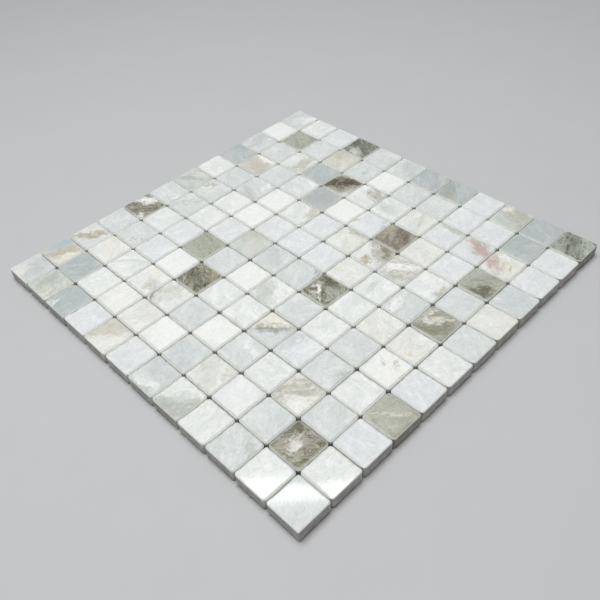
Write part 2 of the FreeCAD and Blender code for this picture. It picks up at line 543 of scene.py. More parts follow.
def put_attribute(mesh: bpy.types.Mesh, name: str, values: np.ndarray) -> None:
    """Puts an attribute on a mesh.

    Args:
        mesh: The mesh.
        name: The attribute's name.
        values: A vector (three numbers) or a colour (four) for each vertex.
    """
    kind, field = ("FLOAT_COLOR", "color") if values.shape[-1] == 4 else ("FLOAT_VECTOR", "vector")
    layer = mesh.attributes.new(name, kind, "POINT")
    layer.data.foreach_set(field, values.astype(np.float32).ravel())


def place_piece(
    mesh: bpy.types.Mesh, material: bpy.types.Material, node: str
) -> bpy.types.Object:
    """Puts a finished mesh in the scene, in the place of one node of the frame.

    Args:
        mesh: The finished mesh, which also names the piece.
        material: Its material.
        node: The node that it stands for.

    Returns:
        The piece.
    """
    mesh.materials.append(material)
    piece = bpy.data.objects.new(mesh.name, mesh)
    bpy.context.scene.collection.objects.link(piece)
    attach(piece, BODY)
    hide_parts(node)
    log.info("%s: %d triangles", piece.name, len(mesh.polygons))
    return piece


def node_points(node: str) -> np.ndarray:
    """Reads the places of one node's vertices.

    Args:
        node: The node's name.

    Returns:
        The places, (count, 3).
    """
    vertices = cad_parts[node].data.vertices
    points = np.empty(len(vertices) * 3, np.float32)
    vertices.foreach_get("co", points)
    return points.reshape(-1, 3).astype(float)


def places(x: Values, y: Values, z: Values) -> np.ndarray:
    """Joins three coordinates, each spread to their common shape, along a new last axis."""
    return np.stack(np.broadcast_arrays(x, y, z), -1)


def along_and_across(x: Values, y: Values, angle: Values) -> tuple[Values, Values]:
    """Measures places along a line at an angle from +X, and to the left of it."""
    cos, sin = np.cos(angle), np.sin(angle)
    return x * cos + y * sin, y * cos - x * sin


def ring_faces(rings: int, around: int) -> np.ndarray:
    """Triangles of a closed skin: rings of points from the bottom up, then its two end points.

    Ring r holds the points from r times around on. The bottom and top middles come after
    the last ring. Each square between two rings is cut into two triangles, and each end
    is a fan about its middle.

    Args:
        rings: How many rings there are.
        around: Points in each ring.

    Returns:
        The triangles' corners, (count, 3).
    """
    ring, step = np.meshgrid(np.arange(rings - 1), np.arange(around), indexing="ij")
    here = (ring * around + step).ravel()
    beside = (ring * around + (step + 1) % around).ravel()
    above, above_beside = here + around, beside + around
    step = np.arange(around)
    following = (step + 1) % around
    top = (rings - 1) * around
    low, high = np.full(around, rings * around), np.full(around, rings * around + 1)
    return np.concatenate(
        [
            np.stack([here, beside, above_beside], 1),
            np.stack([here, above_beside, above], 1),
            np.stack([low, following, step], 1),
            np.stack([high, top + step, top + following], 1),
        ]
    )


def wander(
    chance: np.random.Generator, shape: tuple[int, ...], around: int, waves: tuple[int, ...]
) -> np.ndarray:
    """Smooth closed noise round an outline.

    It is a sum of sines, one for each number of waves, with random phases and strengths that
    fall with the root of that number. It has about unit size.

    Args:
        chance: The source of random numbers.
        shape: How many separate noises, as an array shape.
        around: Points round the outline.
        waves: Numbers of waves round the outline.

    Returns:
        An array of that shape, with one more axis for the points.
    """
    counts = np.array(waves)
    phase = chance.uniform(0, 2 * math.pi, (*shape, len(waves), 1))
    strength = chance.uniform(0.4, 1.0, (*shape, len(waves), 1)) / np.sqrt(counts[:, None] / counts[0])
    turn = 2 * math.pi * np.arange(around) / around
    return (strength * np.sin(counts[:, None] * turn + phase)).sum(-2)


@dataclass(frozen=True)
class Seats:
    """Where the frame puts the tiles of one row, one number a tile in each array.

    Attributes:
        x: Middles along X.
        y: Middles along Y.
        turn: Turns about the upright axis, in radians.
        half: Half sides.
        low: Heights of the backs.
        high: Heights of the polished faces.
    """

    x: np.ndarray
    y: np.ndarray
    turn: np.ndarray
    half: np.ndarray
    low: np.ndarray
    high: np.ndarray

    @classmethod
    def read(cls, node: str, count: int) -> "Seats":
        """Reads the seats from a node's corners.

        Each corner lies in its own tile's module. A tile's middle is that of its corners'
        box. The outline has four equal sides, so the mean of its corners' fourth powers, as
        complex numbers, points away from four times the turn.

        Args:
            node: The node that holds the row.
            count: How many tiles lie in it.

        Returns:
            The seats, from -X to +X.
        """
        points = node_points(node)
        left, right = CAD_BOX[0][0], CAD_BOX[1][0]
        column = np.floor((points[:, 0] - left) / (right - left) * count).astype(int)
        found = []
        for tile in range(count):
            own = points[column == tile]
            low, high = own.min(0), own.max(0)
            middle = (low + high) / 2
            arm = (own[:, 0] - middle[0]) + 1j * (own[:, 1] - middle[1])
            turn = np.angle(-((arm / abs(arm)) ** 4).mean()) / 4
            half = (arm * np.exp(-1j * turn)).real.max()
            found.append((middle[0], middle[1], turn, half, low[2], high[2]))
        return cls(*np.array(found).T)


@dataclass
class TileRow:
    """One row of marble tiles along X.

    Attributes:
        number: Its place from the -Y edge, from 1.
        stones: The sort of each tile, from -X to +X.
        marks: What stands out in each tile.
        run: Steps along a straight side.
        bend: Steps round an upright corner.
        corner: Least and greatest radius of an upright corner.
        chipped_corner: The same, where the corner was knocked.
        knocked: Share of the corners that were.
        outer_corner: Least and greatest radius at the sheet's own corners.
        arris: Least and greatest width of the eased edge round the polished face.
        outer_arris: The same, along the sheet's own edges.
        waver: How far that width wavers, as a share of it.
        rim: Width of the dull band just inside it.
        foot: Least and greatest reach of the broken edge round the back.
        deepest: Greatest reach of a bite in that edge.
        ease: The most that either width changes from one step to the next.
        sawn: Unevenness of the wall, at four heights from the back up.
        ground: How far the wall stands in where grinding smoothed it, below the arris.
        tilt: Greatest slope of a polished face, as an angle.
        dip: Greatest slope at which the layers of the stone sink through a tile.
        quarry: How far to either side of one point tiles were cut, in cloud sizes.
        tone: How much lighter or darker than its sort a tile may be, as a share.
    """

    number: int
    stones: tuple[Stone, ...]
    marks: tuple[tuple[Mark, ...], ...]
    run: int = 36
    bend: int = 4
    corner: tuple[float, float] = (1.9 * MM, 2.5 * MM)
    chipped_corner: tuple[float, float] = (2.8 * MM, 3.5 * MM)
    knocked: float = 0.06
    outer_corner: tuple[float, float] = (0.6 * MM, 0.9 * MM)
    arris: tuple[float, float] = (1.2 * MM, 1.55 * MM)
    outer_arris: tuple[float, float] = (0.4 * MM, 0.6 * MM)
    waver: float = 0.12
    rim: float = 0.08 * MM
    foot: tuple[float, float] = (0.3 * MM, 0.8 * MM)
    deepest: float = 1.7 * MM
    ease: float = 0.15 * MM
    sawn: tuple[float, ...] = (0.08 * MM, 0.1 * MM, 0.09 * MM, 0.07 * MM)
    ground: float = 0.02 * MM
    tilt: float = math.radians(0.35)
    dip: float = 0.6
    quarry: float = 50.0
    tone: float = 0.012

    def __post_init__(self) -> None:
        """Reads the seats and starts the row's own random numbers."""
        self.node = f"tile_row_{self.number:02d}"
        self.seats = Seats.read(self.node, len(self.stones))
        self.chance = np.random.default_rng(SEED + self.number)
        self.around = 4 * (self.run + self.bend)

    def draw(self, span: tuple[float, float]) -> np.ndarray:
        """Draws a value between two limits for each corner or side of each tile, (tiles, 4)."""
        return self.chance.uniform(*span, (len(self.stones), 4))

    def outline(self, radius: np.ndarray) -> tuple[np.ndarray, np.ndarray, np.ndarray]:
        """Closed outline of each tile: a square with rounded corners, about its middle.

        A corner is a quarter circle about a point as far inside both sides as its radius.
        A side is a straight run of even steps from one quarter circle to the next. The room
        inwards is the corner's radius, and along a side a third of the way from the nearer
        corner is added to it.

        Args:
            radius: Corner radii, (tiles, 4).

        Returns:
            The points (tiles, around, 2), their outward normals (around, 2) and the room that
            each has inwards before the outline crosses itself (tiles, around).
        """
        half = self.seats.half[:, None]
        start = np.arange(4) * math.pi / 2
        angle = start[:, None] + np.linspace(0, math.pi / 2, self.bend + 1)
        around = np.stack([np.cos(angle), np.sin(angle)], -1)
        corner = np.stack([np.cos(start + math.pi / 4), np.sin(start + math.pi / 4)], -1) * math.sqrt(2)
        centre = (half - radius)[..., None] * corner
        arc = centre[:, :, None] + radius[..., None, None] * around
        share = (np.arange(1, self.run) / self.run)[:, None]
        run = arc[:, :, -1:] * (1 - share) + np.roll(arc, -1, 1)[:, :, :1] * share
        points = np.concatenate([arc, run], 2).reshape(len(radius), self.around, 2)
        straight = np.repeat(around[:, -1:], self.run - 1, 1)
        normals = np.concatenate([around, straight], 1).reshape(self.around, 2)
        following = np.roll(radius, -1, 1)
        third = (2 * half - radius - following)[..., None] / 3
        from_start = radius[..., None] + third * share[:, 0]
        from_end = following[..., None] + third * (1 - share[:, 0])
        at_corner = np.repeat(radius[..., None], self.bend + 1, 2)
        room = np.concatenate([at_corner, np.minimum(from_start, from_end)], 2)
        return points, normals, room.reshape(len(radius), self.around)

    def nicks(self, count: int, width: tuple[float, float], depth: tuple[float, float]) -> np.ndarray:
        """Small bites along each tile's edge: a sum of bell curves at random places.

        Args:
            count: How many a tile has.
            width: Least and greatest width, as a share of the outline.
            depth: Least and greatest height.

        Returns:
            The sum at each point of the outline, (tiles, around).
        """
        shape = (len(self.stones), count, 1)
        place = self.chance.uniform(0, 1, shape)
        size = self.chance.uniform(*width, shape)
        height = self.chance.uniform(*depth, shape)
        apart = np.abs(np.arange(self.around) / self.around - place)
        apart = np.minimum(apart, 1 - apart)
        return (height * np.exp(-((apart / size) ** 2))).sum(1)

    def outer_sides(self) -> np.ndarray:
        """Finds the sides of tiles that lie on the sheet's own edges.

        Returns:
            Whether each side does, (tiles, 4), in the order +Y, -X, -Y, +X.
        """
        outer = np.zeros((len(self.stones), 4), bool)
        outer[:, 0] = self.number == len(LAYOUT)
        outer[:, 2] = self.number == 1
        outer[0, 1] = outer[-1, 3] = True
        return outer

    def eased(self, width: np.ndarray, room: np.ndarray) -> np.ndarray:
        """Keeps a width round the outline from folding the ring that it makes.

        Args:
            width: The width wanted at each point, (tiles, around).
            room: The room there.

        Returns:
            The least of that width, three quarters of the room, and each near point's width plus
            the ease for every step to it.
        """
        width = np.minimum(width, 0.75 * room)
        for steps in range(1, 7):
            for way in (-steps, steps):
                width = np.minimum(width, np.roll(width, way, 1) + steps * self.ease)
        return width

    def shape(self) -> tuple[np.ndarray, np.ndarray]:
        """Works out every tile's skin in its own axes, from rings of the outline.

        From the bottom up the rings are the sawn back, its broken edge, the wall, the quarter
        round of the arris and the polished face. A ring is the outline moved inwards along
        its normals, or shrunk about the middle on the two flat faces. The polished face is a
        plane with a slight slope of its own.

        The arris's share is 1 on its low, steep part and on the wall just below, where the
        material paints pale light into the joints, and about a half higher up.

        Returns:
            The points (tiles, rings * around + 2, 3) and the surface there, as shares of
            polish, arris and foot, in an array of the same shape.
        """
        tiles, around, chance = len(self.stones), self.around, self.chance
        radius = self.draw(self.corner)
        knocked = self.draw((0, 1)) < self.knocked
        radius = np.where(knocked, self.draw(self.chipped_corner), radius)
        outer = self.outer_sides()
        at_end = outer & np.roll(outer, 1, 1)
        radius = np.where(at_end, self.draw(self.outer_corner), radius)
        points, normals, room = self.outline(radius)

        side = np.where(outer, self.draw(self.outer_arris), self.draw(self.arris))
        side = np.repeat(side, around // 4, 1)
        arris = side * (1 + self.waver * wander(chance, (tiles,), around, (6, 9, 14, 23, 37)))
        arris *= 1 + self.nicks(5, (0.004, 0.012), (0.0, 0.5))
        arris = self.eased(arris, room)
        foot = wander(chance, (tiles,), around, (7, 11, 17, 29))
        foot = np.mean(self.foot) + np.ptp(self.foot) / 2 * foot
        foot = np.clip(foot, 0.5 * self.foot[0], None)
        foot = foot * (1 + self.nicks(4, (0.006, 0.02), (0.2, 2.0)))
        foot = np.minimum(foot, self.deepest)
        foot_in = self.eased(foot, room)

        def rough(size: float) -> np.ndarray:
            """Unevenness of a sawn ring, pressed inwards only."""
            smooth = wander(chance, (tiles,), around, (3, 5, 8, 13, 21, 34, 55))
            return size * (0.5 + 0.25 * smooth).clip(0) + chance.uniform(0, 0.2 * size, (tiles, around))

        slope = chance.uniform(-1, 1, (tiles, 1, 2)) * math.tan(self.tilt)
        low = self.seats.low[:, None] * np.ones(around)
        high = self.seats.high[:, None] - np.abs(slope).sum(-1) * self.seats.half[:, None]
        top = high + (points * slope).sum(-1)
        height = top - low
        sawn = [rough(size) for size in self.sawn]
        ground = np.full((tiles, around), self.ground)
        # Inside the joints the arris share runs down the wall and carries the pale painted light there; the
        # sheet's outer walls get little of it.
        inner = np.repeat(~outer, around // 4, 1)
        # How far a quarter circle has come in at 30 and at 60 degrees, over its radius.
        early, late = 0.134, 0.5
        # Each ring: shrink, inset and height, then its shares of polish, arris and foot.
        rings = [
            (0.6, foot_in, low, 0, 0, 1),
            (1, foot_in, low, 0, 0, 1),
            (1, 0.35 * foot_in + sawn[0], low + 0.4 * foot, 0, 0, 1),
            (1, sawn[1], low + 1.3 * foot, 0, 0, 0.6),
            (1, sawn[2], low + 0.25 * height, 0, 0, 0),
            (1, sawn[3], np.minimum(low + 0.6 * height, top - 2.2 * arris), 0, 0.3 * inner, 0),
            (1, ground, top - 1.8 * arris, 0, 0.7 * inner, 0),
            (1, ground, top - 1.35 * arris, 0, 0.2 + 0.6 * inner, 0),
            (1, ground, top - arris, 0, 1, 0),
            (1, early * arris, top - late * arris, 0, 1, 0),
            (1, late * arris, top - early * arris, 0.1, 0.6, 0),
            (1, arris, top, 0.6, 0.4, 0),
            (1, arris + self.rim, top, 1, 0, 0),
            (0.75, arris + self.rim, top, 1, 0, 0),
        ]
        skin = np.empty((tiles, len(rings), around, 3))
        surface = np.empty_like(skin)
        for place, (shrink, inset, z, *shares) in enumerate(rings):
            flat = (points - normals * inset[..., None]) * shrink
            skin[:, place, :, :2] = flat
            skin[:, place, :, 2] = z
            for axis, share in enumerate(shares):
                surface[:, place, :, axis] = share
        on_face = skin[:, -3:, :, :2]
        skin[:, -3:, :, 2] = high[..., None] + (on_face * slope[:, None]).sum(-1)
        middles = np.zeros((tiles, 2, 3))
        middles[:, 0, 2] = self.seats.low
        middles[:, 1, 2] = high[:, 0]
        ends = np.array([surface[0, 0, 0], surface[0, -1, 0]])
        points = np.concatenate([skin.reshape(tiles, -1, 3), middles], 1)
        surface = np.concatenate([surface.reshape(tiles, -1, 3), np.tile(ends, (tiles, 1, 1))], 1)
        return points, surface

    def colours(self, name: str, strength: str | None = None) -> np.ndarray:
        """Gives one colour of each tile's marble.

        Args:
            name: The marble's colour that is wanted.
            strength: The marble's share to put in its alpha, or None for 1.

        Returns:
            The colours, (tiles, 4).
        """
        found = []
        for stone in self.stones:
            marble = MARBLES[stone]
            share = getattr(marble, strength) if strength else 1.0
            found.append((*linear(getattr(marble, name)), share))
        return np.array(found)

    def figure(self, points: np.ndarray) -> dict[str, np.ndarray]:
        """Lays each tile in its stone: where it was cut, which way, and what shows in it.

        The stone runs the way that a tile's first mark does. Its places are the tile's own,
        turned that way, sheared with depth by the dip, and divided by the size of a cloud.
        A mark's places are measured from its middle, along it, across it and down.

        Args:
            points: The skins in the tiles' own axes.

        Returns:
            An array for each attribute of the mesh, (tiles, points, 3 or 4).
        """
        tiles, count = points.shape[:2]
        marbles = [MARBLES[stone] for stone in self.stones]
        size = np.array([marble.size for marble in marbles])
        stretch = np.array([marble.stretch for marble in marbles])
        turn = self.chance.uniform(0, math.pi, tiles)
        dip = self.chance.uniform(-self.dip, self.dip, tiles)
        for tile, marks in enumerate(self.marks):
            if marks:
                turn[tile] = math.radians(marks[0].turn)
        x, y, z = np.moveaxis(points, -1, 0)
        along, across = along_and_across(x, y, turn[:, None])
        place = places(along / stretch[:, None], across + z * dip[:, None], z)
        cut_from = self.chance.uniform(-self.quarry, self.quarry, (tiles, 1, 3))
        place = place / size[:, None, None] + cut_from
        tone = 1 + self.chance.uniform(-self.tone, self.tone, (tiles, 1))
        ground = self.colours("ground")
        cloud = self.colours("cloud", "cloudiness")
        ground[:, :3] *= tone
        cloud[:, :3] *= tone
        made = {
            "stone": place,
            "ground": np.repeat(ground[:, None], count, 1),
            "cloud": np.repeat(cloud[:, None], count, 1),
            "vein": np.repeat(self.colours("vein", "veining")[:, None], count, 1),
        }
        half = self.seats.half
        for k in range(MARKS_A_TILE):
            where = np.zeros((tiles, count, 3))
            reach = np.ones((tiles, count, 3))
            tint = np.zeros((tiles, count, 4))
            for tile, marks in enumerate(self.marks):
                if k >= len(marks):
                    continue
                mark = marks[k]
                dx, dy = x[tile] / half[tile] - mark.x, y[tile] / half[tile] - mark.y
                along, across = along_and_across(dx, dy, math.radians(mark.turn))
                drop = (z[tile] - self.seats.high[tile]) / half[tile]
                where[tile] = places(along, across + drop * dip[tile], drop * mark.wide)
                reach[tile] = (1 / mark.long, 1 / mark.wide, 1 / mark.wide)
                tint[tile] = (*linear(mark.tint.value), mark.strength)
            made[f"mark_{k + 1}"] = where
            made[f"mark_{k + 1}_reach"] = reach
            made[f"mark_{k + 1}_tint"] = tint
        return made

    def build(self, marble: bpy.types.Material) -> bpy.types.Object:
        """Cuts the row, puts it on its seats and dresses it.

        Args:
            marble: The tiles' material.

        Returns:
            The row.
        """
        points, surface = self.shape()
        attributes = self.figure(points)
        attributes["surface"] = surface
        tiles, count = points.shape[:2]
        seats = self.seats
        x, y, z = np.moveaxis(points, -1, 0)
        # To turn a tile one way is to measure it along a line turned the other way.
        x, y = along_and_across(x, y, -seats.turn[:, None])
        seated = places(x + seats.x[:, None], y + seats.y[:, None], z)
        faces = ring_faces((count - 2) // self.around, self.around)
        faces = faces[None] + (np.arange(tiles) * count)[:, None, None]
        mesh = new_mesh(f"marble_row_{self.number:02d}", seated.reshape(-1, 3), faces.reshape(-1, 3))
        for name, values in attributes.items():
            put_attribute(mesh, name, values.reshape(-1, values.shape[-1]))
        return place_piece(mesh, marble, self.node)


@dataclass(frozen=True)
class PolishedMarble:
    """Finish of the tiles: polished face, ground arris, sawn sides and back.

    Attributes:
        dust_and_shade: Colour that the sawn sides turn towards: partly the dull, dusty colour of sawn
            stone, partly painted shade that darkens the walls.
        dust_and_shade_share: Share of that colour on the sawn sides.
        rim: Colour that the arris turns towards: partly the pale, dull colour of ground stone,
            partly painted shade on its slope, which darkens the pale tiles' arrises.
        ground: Share of that colour at the top of the arris.
        painted_joint_light: Pale colour low on the arris, and on the wall just below inside the joints:
            painted light, standing for the light that the narrow joints gather.
        painted_joint_light_share: Share of that colour there.
        shine: Roughness of the polished face.
        sawn: Roughness of the sides.
        glow: Share of light that passes through the stone's skin.
        depth: How deep that light goes.
        crystal: Crystals to a metre.
        grain: Grains of several crystals to a metre.
        fleck: Flecks in the clouds to a metre.
        mottle: Mottles to a metre.
        stain: Stains to a metre on the sawn sides.
        tooth: Marks of the saw and of grinding to a metre.
    """

    dust_and_shade: Colour = (156, 149, 144)
    dust_and_shade_share: float = 0.6
    rim: Colour = (194, 196, 188)
    ground: float = 0.5
    painted_joint_light: Colour = (236, 238, 233)
    painted_joint_light_share: float = 0.8
    shine: float = 0.05
    sawn: float = 0.7
    glow: float = 0.9
    depth: float = 2.5 * MM
    crystal: float = 2600.0
    grain: float = 1100.0
    fleck: float = 520.0
    mottle: float = 420.0
    stain: float = 190.0
    tooth: float = 900.0

    def stone(self, g: Graph, here: Wire) -> Wire:
        """Works out the stone's own colour: ground, clouds, veins and marks.

        Clouds and veins are noise, read at the places in the stone that each tile carries
        and bent by more noise. A vein runs where a noise crosses one half. A mark is an
        ellipse whose edge is frayed by the same bends.

        Args:
            g: The material's graph.
            here: The place on the piece.

        Returns:
            The colour.
        """
        place = g.attribute("stone")
        bend = g.noise(place, 0.7, 3.0).output("Color") - 0.5
        bent = place + bend * 2.6
        fine = g.noise(bent, 3.1, 5.0, 0.62)
        ragged = g.noise(bent, 1.6, 6.0, 0.66).output("Color") - 0.5

        cloud = g.attribute("cloud", "Color")
        clouds = 0.7 * g.noise(bent, 1.0, 6.0, 0.58) + 0.3 * g.noise(here, self.fleck, 4.0, 0.65)
        clouds = clouds.step(0.42, 0.62) * cloud.output("Alpha")
        vein = g.attribute("vein", "Color")
        ridge = 1 - abs(g.noise(bent * (0.6, 1.5, 1.2), 0.8, 4.0, 0.55) * 2 - 1)
        wisp = 1 - abs(g.noise(bent * (1.0, 2.4, 2.0), 1.1, 3.0, 0.6) * 2 - 1)
        veins = ridge.step(0.86, 0.99) + 0.7 * wisp.step(0.88, 0.99)
        veins = veins * vein.output("Alpha") * (fine * 1.6)
        colour = g.blend(clouds, g.attribute("ground", "Color"), cloud)
        colour = g.blend(veins, colour, vein)
        for k in range(1, MARKS_A_TILE + 1):
            tint = g.attribute(f"mark_{k}_tint", "Color")
            frayed = g.attribute(f"mark_{k}") + bend * 0.9 + ragged * 1.5
            reach = (frayed * g.attribute(f"mark_{k}_reach")).length()
            share = reach.step(1.5, 0.5) * (0.4 + 0.6 * fine.step(0.3, 0.55)) * tint.output("Alpha")
            colour = g.blend(share, colour, tint)
        return colour

    def material(self) -> bpy.types.Material:
        """Makes the marble: the stone's colour, changed where it is sawn, ground or broken, with
        painted shade on the walls and the arrises and painted light low in the joints.

        Returns:
            The material.
        """
        material, g = new_material("polished_marble")
        here = g.object_place()
        crystals = g.noise(here, self.crystal, 2.0, 0.6)
        mottles = g.noise(here, self.mottle, 4.0, 0.6)
        grains = g.noise(here, self.grain, 3.0, 0.6)
        stains = g.noise(here, self.stain, 4.0, 0.7)
        speckle = 0.04 * crystals.step(0.3, 0.7) + 0.06 * grains.step(0.3, 0.7)
        speckle = speckle + 0.07 * mottles.step(0.3, 0.7)
        colour = self.stone(g, here) * (0.915 + speckle)

        shares = g.add("ShaderNodeSeparateXYZ", None, {0: g.attribute("surface")})
        polish, arris, foot = shares.output("X"), shares.output("Y"), shares.output("Z")
        raw = 1 - polish
        wall = raw * (1 - arris)
        # The low, steep part of the arris and the wall just below in the joints: pale painted light goes
        # there.
        low = arris.step(0.6, 1.0)
        uneven = 0.7 + 0.6 * mottles
        # Sawn walls turn duller and darker: partly sawn stone's own dull colour, partly painted shade.
        colour = g.blend(wall * uneven * self.dust_and_shade_share, colour, rgba(self.dust_and_shade))
        colour = colour * (1 - 0.3 * wall * stains.step(0.35, 0.65))
        # The arris: partly ground stone's pale dull colour, partly painted shade on its slope; then pale
        # painted light low in the joints.
        colour = g.blend(arris * (1 - low) * uneven * self.ground, colour, rgba(self.rim))
        colour = g.blend(low * self.painted_joint_light_share, colour, rgba(self.painted_joint_light))
        # Darker towards the bottom of the wall and on the back.
        colour = colour * (1 - foot * (0.1 + 0.25 * mottles))

        gloss = self.shine + 0.05 * mottles
        rough = self.sawn - 0.25 * arris
        teeth = g.noise(here, self.tooth, 4.0, 0.65)
        g.finish(
            {
                "Base Color": colour,
                "Roughness": rough * raw + gloss * polish,
                "Normal": g.relief(teeth * raw + crystals * (0.02 * polish), 0.5, 0.12 * MM),
                "IOR": 1.5,
                "Subsurface Weight": self.glow,
                "Subsurface Radius": (1.0, 0.98, 0.96),
                "Subsurface Scale": self.depth,
            }
        )
        return material


@dataclass(frozen=True)
class GlassYarn:
    """Finish of the net: bundles of glass fibre, stiffened with clear size.

    Attributes:
        fibre: Colour of the fibres.
        size: Colour of the dried size between them.
    """

    fibre: Colour = (226, 224, 214)
    size: Colour = (190, 184, 166)

    def material(self) -> bpy.types.Material:
        """Makes the yarn: fine lines along it, and blotches of size.

        Returns:
            The material.
        """
        material, g = new_material("woven_glass_yarn")
        lie = g.attribute("lie")
        lines = g.noise(lie * (0.12, 9.0, 1.0), 1.0, 3.0, 0.6)
        blotch = g.noise(lie, 0.45, 3.0, 0.6)
        colour = g.blend(blotch.step(0.4, 0.65) * 0.7, rgba(self.fibre), rgba(self.size))
        g.finish(
            {
                "Base Color": colour * (0.8 + 0.4 * lines),
                "Roughness": 0.45 + 0.3 * blotch,
                "Normal": g.relief(lines, 0.6, 0.05 * MM),
                "IOR": 1.5,
            }
        )
        return material


@dataclass
class BackingNet:
    """The glass-fibre net under the tiles.

    Flat weft yarns run along X. Pairs of warp strands run along Y and wind round each other,
    half a turn for each weft yarn, so that one passes below it and the other above.

    Attributes:
        weft_width: Width of a weft yarn.
        weft_height: Its thickness.
        pinch: Its width where the strands grip it, as a share.
        strand: Width of a warp strand.
        sway: How far a strand swings to each side of its pair's middle.
        slack: How far weft and warp stray from their lines, in that order.
        fibres: Loose fibres at each yarn's end.
        fibre: Their thickness.
        root: How far inside the yarn's end they start.
        tuft: Least and greatest length of a loose fibre.
        fan: Spread of its way to the side, over its length.
        curl: Middle and spread of its way up, over its length.
    """

    weft_width: float = 0.8 * MM
    weft_height: float = 0.17 * MM
    pinch: float = 0.72
    strand: float = 0.32 * MM
    sway: float = 0.26 * MM
    slack: tuple[float, float] = (0.05 * MM, 0.02 * MM)
    fibres: int = 7
    fibre: float = 0.11 * MM
    root: float = 0.6 * MM
    tuft: tuple[float, float] = (0.5 * MM, 1.7 * MM)
    fan: float = 0.45
    curl: tuple[float, float] = (0.1, 0.35)

    def __post_init__(self) -> None:
        """Reads the yarns' lines from the frame and starts the net's own random numbers."""
        self.chance = np.random.default_rng(SEED)
        self.weft_lines = self.lines("net_lower_yarns", 1)
        self.warp_lines = self.lines("net_upper_yarns", 0)
        self.end = float(CAD_BOX[1][0])
        self.height = float(node_points("net_upper_yarns")[:, 2].max())

    @staticmethod
    def lines(node: str, axis: int) -> np.ndarray:
        """Finds the middle lines of parallel yarns: means of their corners, split at gaps.

        Args:
            node: The node that holds the yarns.
            axis: The axis across them.

        Returns:
            The lines' places on that axis.
        """
        across = np.unique(node_points(node)[:, axis].round(6))
        groups = np.split(across, np.flatnonzero(np.diff(across) > 1 * MM) + 1)
        return np.array([group.mean() for group in groups])

    @staticmethod
    def tubes(
        path: np.ndarray, width: np.ndarray, height: np.ndarray, sides: int
    ) -> tuple[np.ndarray, np.ndarray]:
        """Closed tubes that run mainly along the first axis.

        The section is an ellipse in the second and third axes: the path plus half the width
        times the cosine and half the height times the sine of an angle.

        Args:
            path: Middles, (tubes, steps, 3).
            width: Full widths, (tubes, steps).
            height: Full heights, (tubes, steps).
            sides: Corners of the section.

        Returns:
            The points, and the triangles.
        """
        angle = 2 * math.pi * np.arange(sides) / sides
        offset = np.zeros((*path.shape[:2], sides, 3))
        offset[..., 1] = width[..., None] / 2 * np.cos(angle)
        offset[..., 2] = height[..., None] / 2 * np.sin(angle)
        rings = path[:, :, None] + offset
        count, steps = path.shape[:2]
        points = np.concatenate([rings.reshape(count, -1, 3), path[:, [0, -1]]], 1)
        faces = ring_faces(steps, sides)[None] + (np.arange(count) * points.shape[1])[:, None, None]
        return points.reshape(-1, 3), faces.reshape(-1, 3)

    def weft(self) -> tuple[np.ndarray, np.ndarray]:
        """Flat yarns through the middle of the net, pinched where the strands grip them.

        Returns:
            The points, and the triangles.
        """
        steps = 2 * len(self.warp_lines) + 1
        shape = (len(self.weft_lines), steps)
        along = np.linspace(-self.end, self.end, steps)
        across = self.weft_lines[:, None] + self.chance.normal(0, self.slack[0], shape)
        path = places(along, across, self.height / 2)
        pinch = np.where(np.arange(steps) % 2, self.pinch, 1.0)
        width = self.weft_width * pinch * self.chance.uniform(0.85, 1.1, shape)
        return self.tubes(path, width, np.full(shape, self.weft_height), 6)

    def warp(self) -> tuple[np.ndarray, np.ndarray]:
        """Pairs of strands, which turn half round each other for each weft yarn.

        A strand's height is a cosine, and its way to the side a sine, of one angle.

        Returns:
            The points, and the triangles.
        """
        per_yarn = 3
        rows = len(self.weft_lines)
        shape = (len(self.warp_lines), per_yarn * rows + 1)
        along = np.linspace(-self.end, self.end, shape[1])
        pitch = 2 * self.end / rows
        phase = math.pi * (along + self.end - pitch / 2) / pitch
        lift = (self.height - self.strand / 2) / 2
        paths = []
        for side in (-1, 1):
            across = self.warp_lines[:, None] + side * self.sway * np.sin(phase)
            across = across + self.chance.normal(0, self.slack[1], shape)
            paths.append(places(along, across, self.height / 2 + side * lift * np.cos(phase)))
        path = np.concatenate(paths)
        width = np.full(path.shape[:2], self.strand)
        return self.tubes(path, width, width / 2, 4)

    def tufts(self, lines: np.ndarray) -> tuple[np.ndarray, np.ndarray]:
        """Loose fibres at both ends of each yarn, which fan out and curl up or down.

        A fibre starts inside the yarn's end. Its sideways and upward offsets grow with the
        square of the way along it.

        Args:
            lines: The yarns' places across.

        Returns:
            The points, and the triangles.
        """
        steps = 4
        shape = (2, len(lines), self.fibres)
        share = np.linspace(0, 1, steps)
        start = self.end - self.root
        trimmed = self.chance.uniform(0, 1, (2, len(lines), 1)) ** 3
        length = self.chance.uniform(*self.tuft, shape) * (0.1 + 0.9 * trimmed)
        reach = start + (self.root + length[..., None] * 0.75) * share
        across = lines[:, None] + self.chance.uniform(-0.5, 0.5, shape) * self.weft_width
        fan = self.chance.normal(0, self.fan, shape) * length
        curl = self.chance.normal(*self.curl, shape) * length
        up = self.height / 2 + self.chance.uniform(-0.25, 0.25, shape) * self.height
        ends = np.array([-1, 1])[:, None, None, None]
        across = across[..., None] + fan[..., None] * share**2
        up = (up[..., None] + curl[..., None] * share**2).clip(self.fibre / 2)
        path = places(reach * ends, across, up)
        path[0] = path[0][:, :, ::-1]
        path = path.reshape(-1, steps, 3)
        size = np.full(path.shape[:2], self.fibre)
        return self.tubes(path, size, size, 3)

